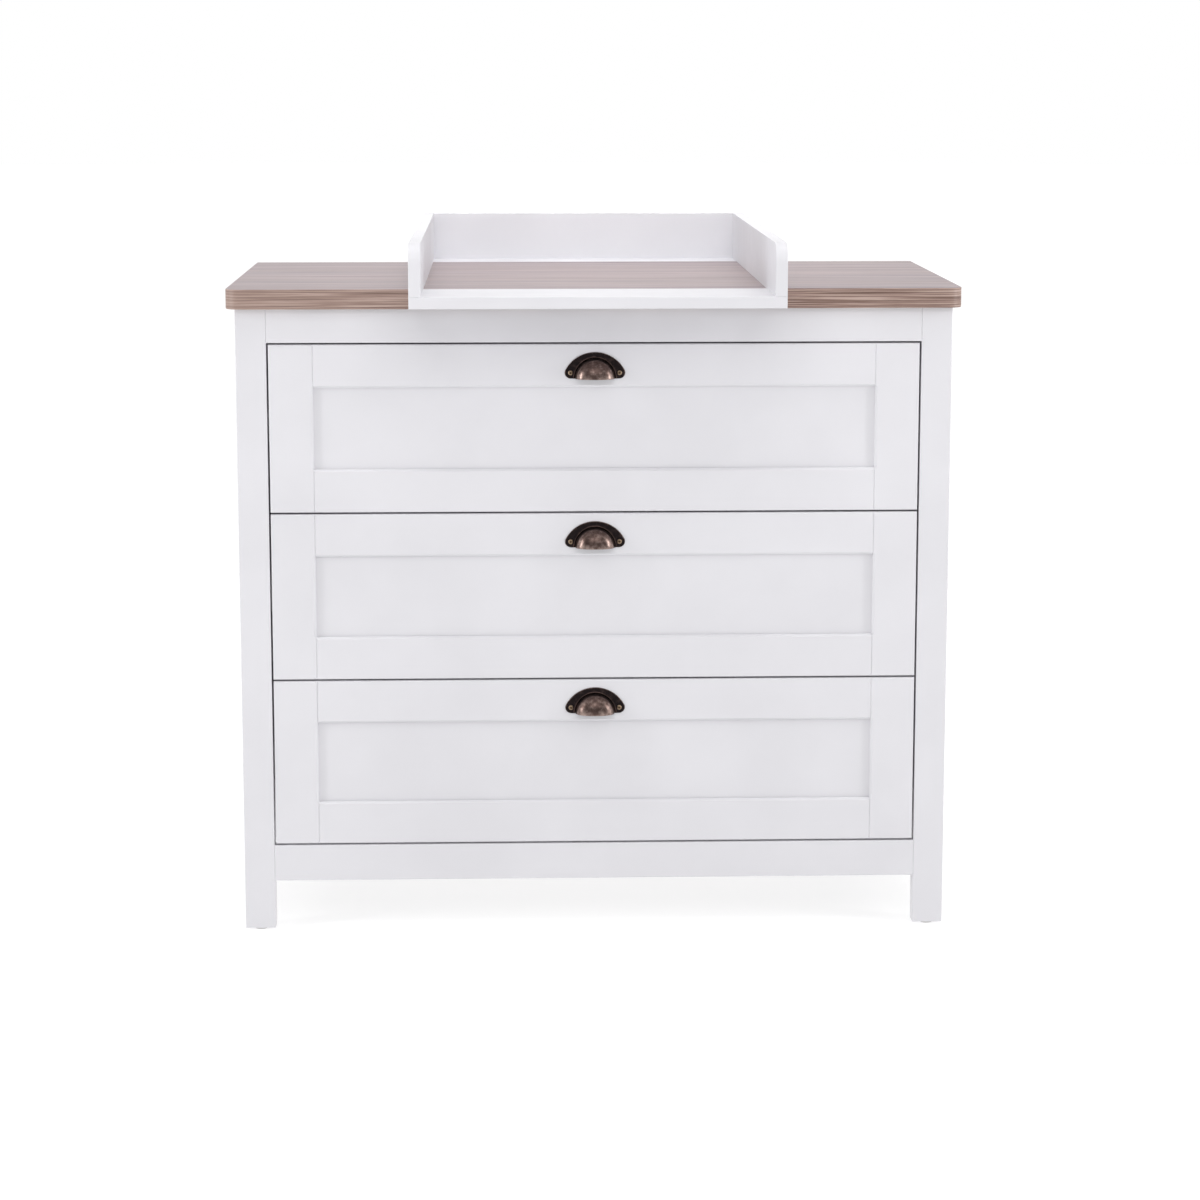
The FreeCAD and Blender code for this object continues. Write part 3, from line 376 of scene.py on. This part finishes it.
def build_piece(name, shells, material):
    """One mesh object from shells. A shell is its points, its quads, its caps and a rub value per point."""
    points, faces, rub_and_sheen, start = [], [], [], 0
    for shell_points, quads, caps, shell_rub_and_sheen in shells:
        points.append(shell_points)
        faces.extend((quads + start).tolist())
        faces.extend([(cap + start).tolist() for cap in caps])
        rub_and_sheen.append(shell_rub_and_sheen)
        start += len(shell_points)
    mesh = bpy.data.meshes.new(name)
    mesh.from_pydata(np.concatenate(points).tolist(), [], faces)
    wear = mesh.attributes.new("rub_and_sheen", "FLOAT", "POINT")
    wear.data.foreach_set("value", np.concatenate(rub_and_sheen).astype(np.float32))
    mesh.materials.append(material)
    mesh.polygons.foreach_set("use_smooth", np.ones(len(mesh.polygons), bool))
    piece = bpy.data.objects.new(name, mesh)
    bpy.context.scene.collection.objects.link(piece)
    weld = piece.modifiers.new("weld", "WELD")
    weld.merge_threshold = 0.002 * MM
    return piece


def smooth_step(x):
    """0 below 0 and 1 above 1, with a smooth curve between."""
    x = np.clip(x, 0, 1)
    return x * x * (3 - 2 * x)


def arch_edge(width, height, ear, count):
    """Points along the plate's edge from its left foot over the top to its right foot.

    An ear circle, one wide arc that touches both ears from outside, and the other ear, each walked at
    even steps of arc length. The arc's radius follows from width, height and ear.
    """
    reach, rise = width / 2 - ear, height - ear
    radius = (reach ** 2 + rise ** 2 - ear ** 2) / (2 * (rise - ear))
    centre = height - radius
    meet = math.atan2(ear - centre, reach)
    ear_length, arc_length = ear * (meet + math.pi / 2), radius * (math.pi - 2 * meet)
    s = np.linspace(0, 2 * ear_length + arc_length, count)
    left = -math.pi / 2 - np.minimum(s, ear_length) / ear
    arc = math.pi - meet - np.clip(s - ear_length, 0, arc_length) / radius
    right = meet - np.clip(s - ear_length - arc_length, 0, ear_length) / ear
    in_left, in_right = s <= ear_length, s >= ear_length + arc_length
    x = np.where(in_left, -reach + ear * np.cos(left),
                 np.where(in_right, reach + ear * np.cos(right), radius * np.cos(arc)))
    z = np.where(in_left, ear + ear * np.sin(left),
                 np.where(in_right, ear + ear * np.sin(right), centre + radius * np.sin(arc)))
    return np.stack([x, z], axis=1)


def pull_plate(width, height, sizes):
    """The plate of a cup pull as one closed band carried round the arch.

    Across the band a section runs from the window behind the cup to the outer edge: flat behind, a
    quarter-round at the outer edge, flat in front with one raised bead beside the cup. Each station's
    section lies on the straight line between the window's half circle and the plate's edge.
    """
    stations, across = 121, 34
    outer = arch_edge(width, height, sizes.ear, stations)
    angle = np.linspace(math.pi, 0, stations)
    window = (sizes.cup_radius - sizes.wall) * np.stack([np.cos(angle), np.sin(angle)], axis=1)
    span = outer - window
    distance = np.linalg.norm(span, axis=1)[:, None]
    v = np.concatenate([[0], np.linspace(0, 1, across)])[None, :]
    from_window = v * distance
    from_edge = distance - from_window
    past_flat = np.maximum(sizes.rounding - from_edge, 0)
    round_off = sizes.rounding - np.sqrt(np.maximum(sizes.rounding ** 2 - past_flat ** 2, 0))
    bead_at = sizes.wall + 2.2 * sizes.bead_width
    bead = sizes.bead * np.exp(-((from_window - bead_at) / sizes.bead_width) ** 2)
    front = -(sizes.plate - round_off + bead)
    front[:, 0] = 0
    flat = window[:, None, :] + v[:, :, None] * span[:, None, :]
    points = np.stack([flat[..., 0], front, flat[..., 1]], axis=-1)
    back = np.stack([outer[:, 0], np.zeros(stations), outer[:, 1]], axis=-1)[:, None, :]
    points = np.concatenate([points, back], axis=1)
    columns = points.shape[1]
    quads = grid_faces(stations, columns, wrap_columns=True)[:, ::-1]
    caps = [np.arange(columns), np.arange(columns)[::-1] + (stations - 1) * columns]
    edge_wear = 0.5 * smooth_step(1 - from_edge / (1.6 * sizes.rounding))
    bead_wear = 0.3 * bead / sizes.bead
    rub_and_sheen = np.concatenate([np.maximum(edge_wear, bead_wear) + 0.04, np.zeros((stations, 1))], axis=1)
    return points.reshape(-1, 3), quads, caps, rub_and_sheen.ravel()


def pull_cup(depth, sizes):
    """The cup: a wall section turned half a turn about the axis that points out of the drawer.

    Its outside is a superellipse from the plate to the crown, with steep flanks and a flatter crown,
    and its inside is the same curve one wall further in.
    """
    turns, steps = 97, 34
    t = np.linspace(0, math.pi / 2, steps)
    power = 2 / 2.35

    def curve(radius, reach):
        return radius * np.cos(t) ** power, -reach * np.sin(t) ** power

    out_r, out_y = curve(sizes.cup_radius, depth)
    in_r, in_y = curve(sizes.cup_radius - sizes.wall, depth - sizes.wall)
    r, y = np.concatenate([out_r, in_r[::-1]]), np.concatenate([out_y, in_y[::-1]])
    angle = np.linspace(math.pi, 0, turns)[:, None]
    points = np.stack([r * np.cos(angle), np.broadcast_to(y, (turns, 2 * steps)), r * np.sin(angle)], axis=-1)
    columns = 2 * steps
    quads = grid_faces(turns, columns, wrap_columns=True)[:, ::-1]
    caps = [np.arange(columns), np.arange(columns)[::-1] + (turns - 1) * columns]
    flank = smooth_step((out_r / sizes.cup_radius - 0.9) / 0.1)
    # the lower left and right of the dome are made lighter: a painted highlight where the side lamps'
    # reflections fall
    low = np.abs(np.cos(angle)) ** 6
    outside = 0.5 - 0.36 * flank[None, :] + 0.2 * low
    inside = np.full((turns, steps), 0.12)
    rub_and_sheen = np.concatenate([outside, inside], axis=1)
    return points.reshape(-1, 3), quads, caps, rub_and_sheen.ravel()


def screw_head(radius, height, shank):
    """A round screw head with a cross recess, turned about its axis, with a short shank behind.

    The height over the disc is a half ellipse, less a trough along each of two crossed lines.
    """
    rings, turns = 26, 96
    r = radius * np.sin(np.linspace(0, math.pi / 2, rings))
    a = np.linspace(0, 2 * math.pi, turns, endpoint=False)[:, None]
    x, z = r * np.cos(a), r * np.sin(a)
    dome = height * np.sqrt(np.maximum(1 - (r / radius) ** 2, 0)) * np.ones_like(a)
    half_width, half_length, depth = 0.14 * radius, 0.56 * radius, 0.5 * height

    def trough(across, along):
        return smooth_step((half_width * 1.6 - np.abs(across)) / (half_width * 0.9)) \
            * smooth_step((half_length - np.abs(along)) / (half_width * 1.4))

    cut = np.maximum(trough(x, z), trough(z, x))
    front = -np.maximum(dome - depth * cut, 0)
    points = np.stack([x, front, z], axis=-1)
    tail = np.array([(shank, 0.0), (shank, 4 * MM)])
    tail_points = np.stack([tail[:, 0] * np.cos(a), np.broadcast_to(tail[:, 1], (turns, 2)),
                            tail[:, 0] * np.sin(a)], axis=-1)
    points = np.concatenate([points, tail_points], axis=1)
    columns = rings + 2
    quads = grid_faces(turns, columns, wrap_rows=True)[:, ::-1]
    caps = [np.arange(turns)[::-1] * columns + columns - 1]
    rub_and_sheen = np.concatenate([0.72 - 0.9 * cut + 0.1 * (r / radius), np.full((turns, 2), 0.3)], axis=1)
    return points.reshape(-1, 3), quads, caps, rub_and_sheen.ravel()


def moved(shell, place):
    """A shell with all its points shifted to a place."""
    points, quads, caps, rub_and_sheen = shell
    return points + np.array(place), quads, caps, rub_and_sheen


# ---------------------------------------------------------------- operators

class TableOperator:
    """What the operators of this add-on share."""

    bl_options = {"REGISTER", "UNDO"}

    @staticmethod
    def hues():
        return bpy.context.scene.table_colours


class TABLE_OT_lacquered_boards(TableOperator, bpy.types.Operator):
    """Sprays carcass, drawer fronts and tray white"""

    bl_idname = "table.lacquered_boards"
    bl_label = "Lacquered boards"

    def execute(self, context):
        names = nodes_of("_post", "_apron", "_rail", "_side_panel", "_front_stiles", "_front_rails",
                         "_front_panel", "tray_left_side", "tray_right_side", "tray_back_panel",
                         "tray_front_board", "tray_rear_board", "rear_rails")
        paint(names, white_lacquer(self.hues()))
        return {"FINISHED"}


class TABLE_OT_worktop(TableOperator, bpy.types.Operator):
    """Faces the worktop with wood decor, its grain from side to side"""

    bl_idname = "table.worktop"
    bl_label = "Worktop"

    def execute(self, context):
        paint(["worktop"], wood_decor(self.hues()))
        return {"FINISHED"}


class TABLE_OT_hidden_boards(TableOperator, bpy.types.Operator):
    """Finishes drawer boxes, battens, back panel, dowels and glides"""

    bl_idname = "table.hidden_boards"
    bl_label = "Drawer boxes and back"

    def execute(self, context):
        hues = self.hues()
        names = nodes_of("_box_sides", "_box_front", "_box_back", "_box_bottom", "runner_battens")
        paint(names, foil_board(hues))
        paint(["back_panel"], painted_hardboard(hues))
        paint(["carcass_dowels"], turned_beech(hues))
        paint(["foot_glides"], moulded_plastic(hues))
        return {"FINISHED"}


class TABLE_OT_steelwork(TableOperator, bpy.types.Operator):
    """Zinc plates runners, angles and hidden screws"""

    bl_idname = "table.steelwork"
    bl_label = "Runners and screws"

    def execute(self, context):
        names = nodes_of("_runner_inner", "_runner_middle", "runner_cabinet_members", "worktop_angles",
                         "carcass_screws", "tray_screws", "_front_screws")
        paint(names, zinc_steel(self.hues()))
        return {"FINISHED"}


class TABLE_OT_cup_pulls(TableOperator, bpy.types.Operator):
    """Casts the three cup pulls"""

    bl_idname = "table.cup_pulls"
    bl_label = "Cup pulls"

    def execute(self, context):
        sizes = context.scene.table_pull
        bronze = antique_bronze(self.hues())
        for drawer in DRAWERS:
            node = f"{drawer}_drawer_handle"
            low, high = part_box(node)
            shells = [pull_plate(high.x - low.x, high.z - low.z, sizes), pull_cup(high.y - low.y, sizes)]
            place = ((low.x + high.x) / 2, high.y, low.z)
            pull = build_piece(f"{drawer}_cup_pull", [moved(shell, place) for shell in shells], bronze)
            lip = pull.modifiers.new("lip", "BEVEL")
            lip.width = 0.4 * MM
            lip.segments = 2
            lip.limit_method = "ANGLE"
            lip.angle_limit = math.radians(60)
            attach(pull, f"{drawer}_drawer")
            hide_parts(node)
        return {"FINISHED"}


class TABLE_OT_pull_screws(TableOperator, bpy.types.Operator):
    """Turns the round-head screws of the cup pulls"""

    bl_idname = "table.pull_screws"
    bl_label = "Cup pull screws"

    def execute(self, context):
        sizes = context.scene.table_pull
        brass = aged_brass(self.hues())
        for drawer in DRAWERS:
            node = f"{drawer}_drawer_handle_screws"
            low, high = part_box(node)
            radius = (high.z - low.z) / 2
            middle = (low.z + high.z) / 2
            plate_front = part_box(f"{drawer}_drawer_handle")[1].y - sizes.plate
            head = screw_head(radius, plate_front - low.y + 0.2 * MM, radius / 2)
            shells = [moved(head, (x, plate_front, middle)) for x in (low.x + radius, high.x - radius)]
            screws = build_piece(f"{drawer}_cup_pull_screws", shells, brass)
            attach(screws, f"{drawer}_drawer")
            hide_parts(node)
        return {"FINISHED"}


class TABLE_OT_stage(TableOperator, bpy.types.Operator):
    """Sets floor, soft lights and camera"""

    bl_idname = "table.stage"
    bl_label = "Stage"

    def softbox(self, name, power, size, place, target, spread=180):
        """A rectangular area light aimed at a point."""
        lamp = bpy.data.lights.new(name, "AREA")
        lamp.energy = power
        lamp.shape = "RECTANGLE"
        lamp.spread = math.radians(spread)
        lamp.size, lamp.size_y = size
        holder = bpy.data.objects.new(name, lamp)
        bpy.context.scene.collection.objects.link(holder)
        holder.location = place
        aim = np.array(target) - np.array(place)
        flat = math.hypot(aim[0], aim[1])
        holder.rotation_euler = (math.atan2(flat, -aim[2]), 0, math.atan2(-aim[0], aim[1]))

    def floor(self, hues, settings):
        """A round level floor, lit from below, as wide as the eye reaches."""
        radius, corners = 30, 96
        turn = np.linspace(0, 2 * math.pi, corners, endpoint=False)
        points = np.stack([radius * np.cos(turn), radius * np.sin(turn), np.zeros_like(turn)], axis=1)
        mesh = bpy.data.meshes.new("studio_floor")
        mesh.from_pydata(points.tolist(), [], [list(range(len(turn)))])
        material, tree, output = new_material("acrylic_floor_backlit")
        finish(tree, output, {}, Base_Color=(*hues.floor, 1), Roughness=0.9, Emission_Color=(1, 1, 1, 1),
               Emission_Strength=settings.floor_glow)
        mesh.materials.append(material)
        floor = bpy.data.objects.new("studio_floor", mesh)
        bpy.context.scene.collection.objects.link(floor)

    def execute(self, context):
        scene, settings = context.scene, context.scene.table_stage
        self.floor(self.hues(), settings)
        self.softbox("overhead", settings.overhead, (3.2, 2.6), (0.1, -1.1, 3.1), (0, 0.1, 0.6))
        self.softbox("key", settings.key, (3.0, 1.4), (0.1, -3.5, 2.5), (0, 0, 0.75))
        self.softbox("tray_light", settings.tray, (0.8, 0.5), (0, -0.35, 2.3), (0, 0.25, 0.95), 60)
        strip, strip_away = (0.3, 1.5), 2.6
        for name, x in (("left_side", -strip_away), ("right_side", strip_away)):
            self.softbox(name, settings.side, strip, (x, -1.1, 1.3), (0, -0.2, 0.8))
        world = bpy.data.worlds.new("studio_world")
        world.use_nodes = True
        tree = world.node_tree
        towards = add(tree, "TexCoord").outputs["Generated"]
        ahead = add(tree, "SeparateXYZ", {"Vector": towards}).outputs["Y"]
        darkest, lightest = -0.8, -0.22  # how far towards -Y a direction points at each end
        tree.links.new(levels(tree, ahead, darkest, lightest, settings.room, settings.world),
                       tree.nodes["Background"].inputs["Strength"])
        tree.nodes["Background"].inputs["Color"].default_value = (1, 1, 1, 1)
        scene.world = world
        scene.view_settings.view_transform = "Standard"
        lens = bpy.data.cameras.new("camera")
        lens.lens, lens.sensor_width = settings.lens, 36
        lens.shift_y = settings.shift
        camera = bpy.data.objects.new("camera", lens)
        scene.collection.objects.link(camera)
        camera.location = settings.camera
        camera.rotation_euler = (math.pi / 2 - settings.tilt, 0, -settings.turn)
        scene.camera = camera
        return {"FINISHED"}


class TABLE_PT_sidebar(bpy.types.Panel):
    """Lists the steps and their settings"""

    bl_label = "Changing table"
    bl_idname = "TABLE_PT_sidebar"
    bl_space_type = "VIEW_3D"
    bl_region_type = "UI"
    bl_category = "Changing table"

    def draw(self, context):
        for operator in OPERATORS:
            self.layout.operator(operator.bl_idname)
        for group in (context.scene.table_colours, context.scene.table_pull, context.scene.table_stage):
            box = self.layout.box()
            for key in group.__annotations__:
                box.prop(group, key)


OPERATORS = (TABLE_OT_lacquered_boards, TABLE_OT_worktop, TABLE_OT_hidden_boards, TABLE_OT_steelwork,
             TABLE_OT_cup_pulls, TABLE_OT_pull_screws, TABLE_OT_stage)
GROUPS = (TABLE_PG_colours, TABLE_PG_pull, TABLE_PG_stage)


def register():
    """Registers the classes and the scene's settings."""
    for item in (*GROUPS, *OPERATORS, TABLE_PT_sidebar):
        bpy.utils.register_class(item)
    bpy.types.Scene.table_colours = PointerProperty(type=TABLE_PG_colours)
    bpy.types.Scene.table_pull = PointerProperty(type=TABLE_PG_pull)
    bpy.types.Scene.table_stage = PointerProperty(type=TABLE_PG_stage)


def unregister():
    """Takes them away again."""
    del bpy.types.Scene.table_colours, bpy.types.Scene.table_pull, bpy.types.Scene.table_stage
    for item in reversed((*GROUPS, *OPERATORS, TABLE_PT_sidebar)):
        bpy.utils.unregister_class(item)


def main():
    """Builds every piece in order."""
    register()
    for operator in OPERATORS:
        getattr(bpy.ops.table, operator.bl_idname.split(".")[1])()


if __name__ == "__main__":
    main()
